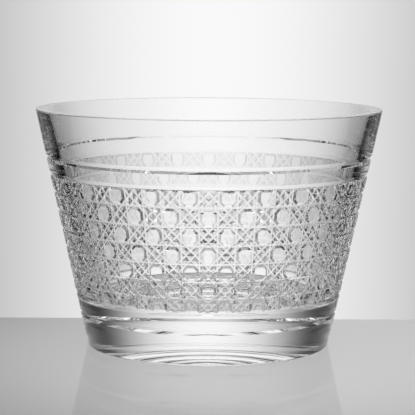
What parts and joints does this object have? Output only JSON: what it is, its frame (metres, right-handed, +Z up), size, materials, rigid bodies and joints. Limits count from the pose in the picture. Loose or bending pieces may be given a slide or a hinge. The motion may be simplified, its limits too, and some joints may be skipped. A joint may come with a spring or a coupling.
{
  "type": "cut crystal bowl",
  "caption": "Deep conical bowl of clear thick crystal with a band of cut octagons between V rings and a solid base; holds fruit, flowers or ice.",
  "frame": {"origin": "middle of the flat foot, on the table", "axes": "+Z up along the bowl's axis; -Y faces the viewer of the picture, at the middle of an octagon of the top full row"},
  "size_m": [0.25, 0.25, 0.1713],
  "materials": {
    "crystal": "clear lead crystal, wheel cut and polished"
  },
  "bodies": {
    "root": {"bowl": "crystal"}
  },
  "joints": []
}
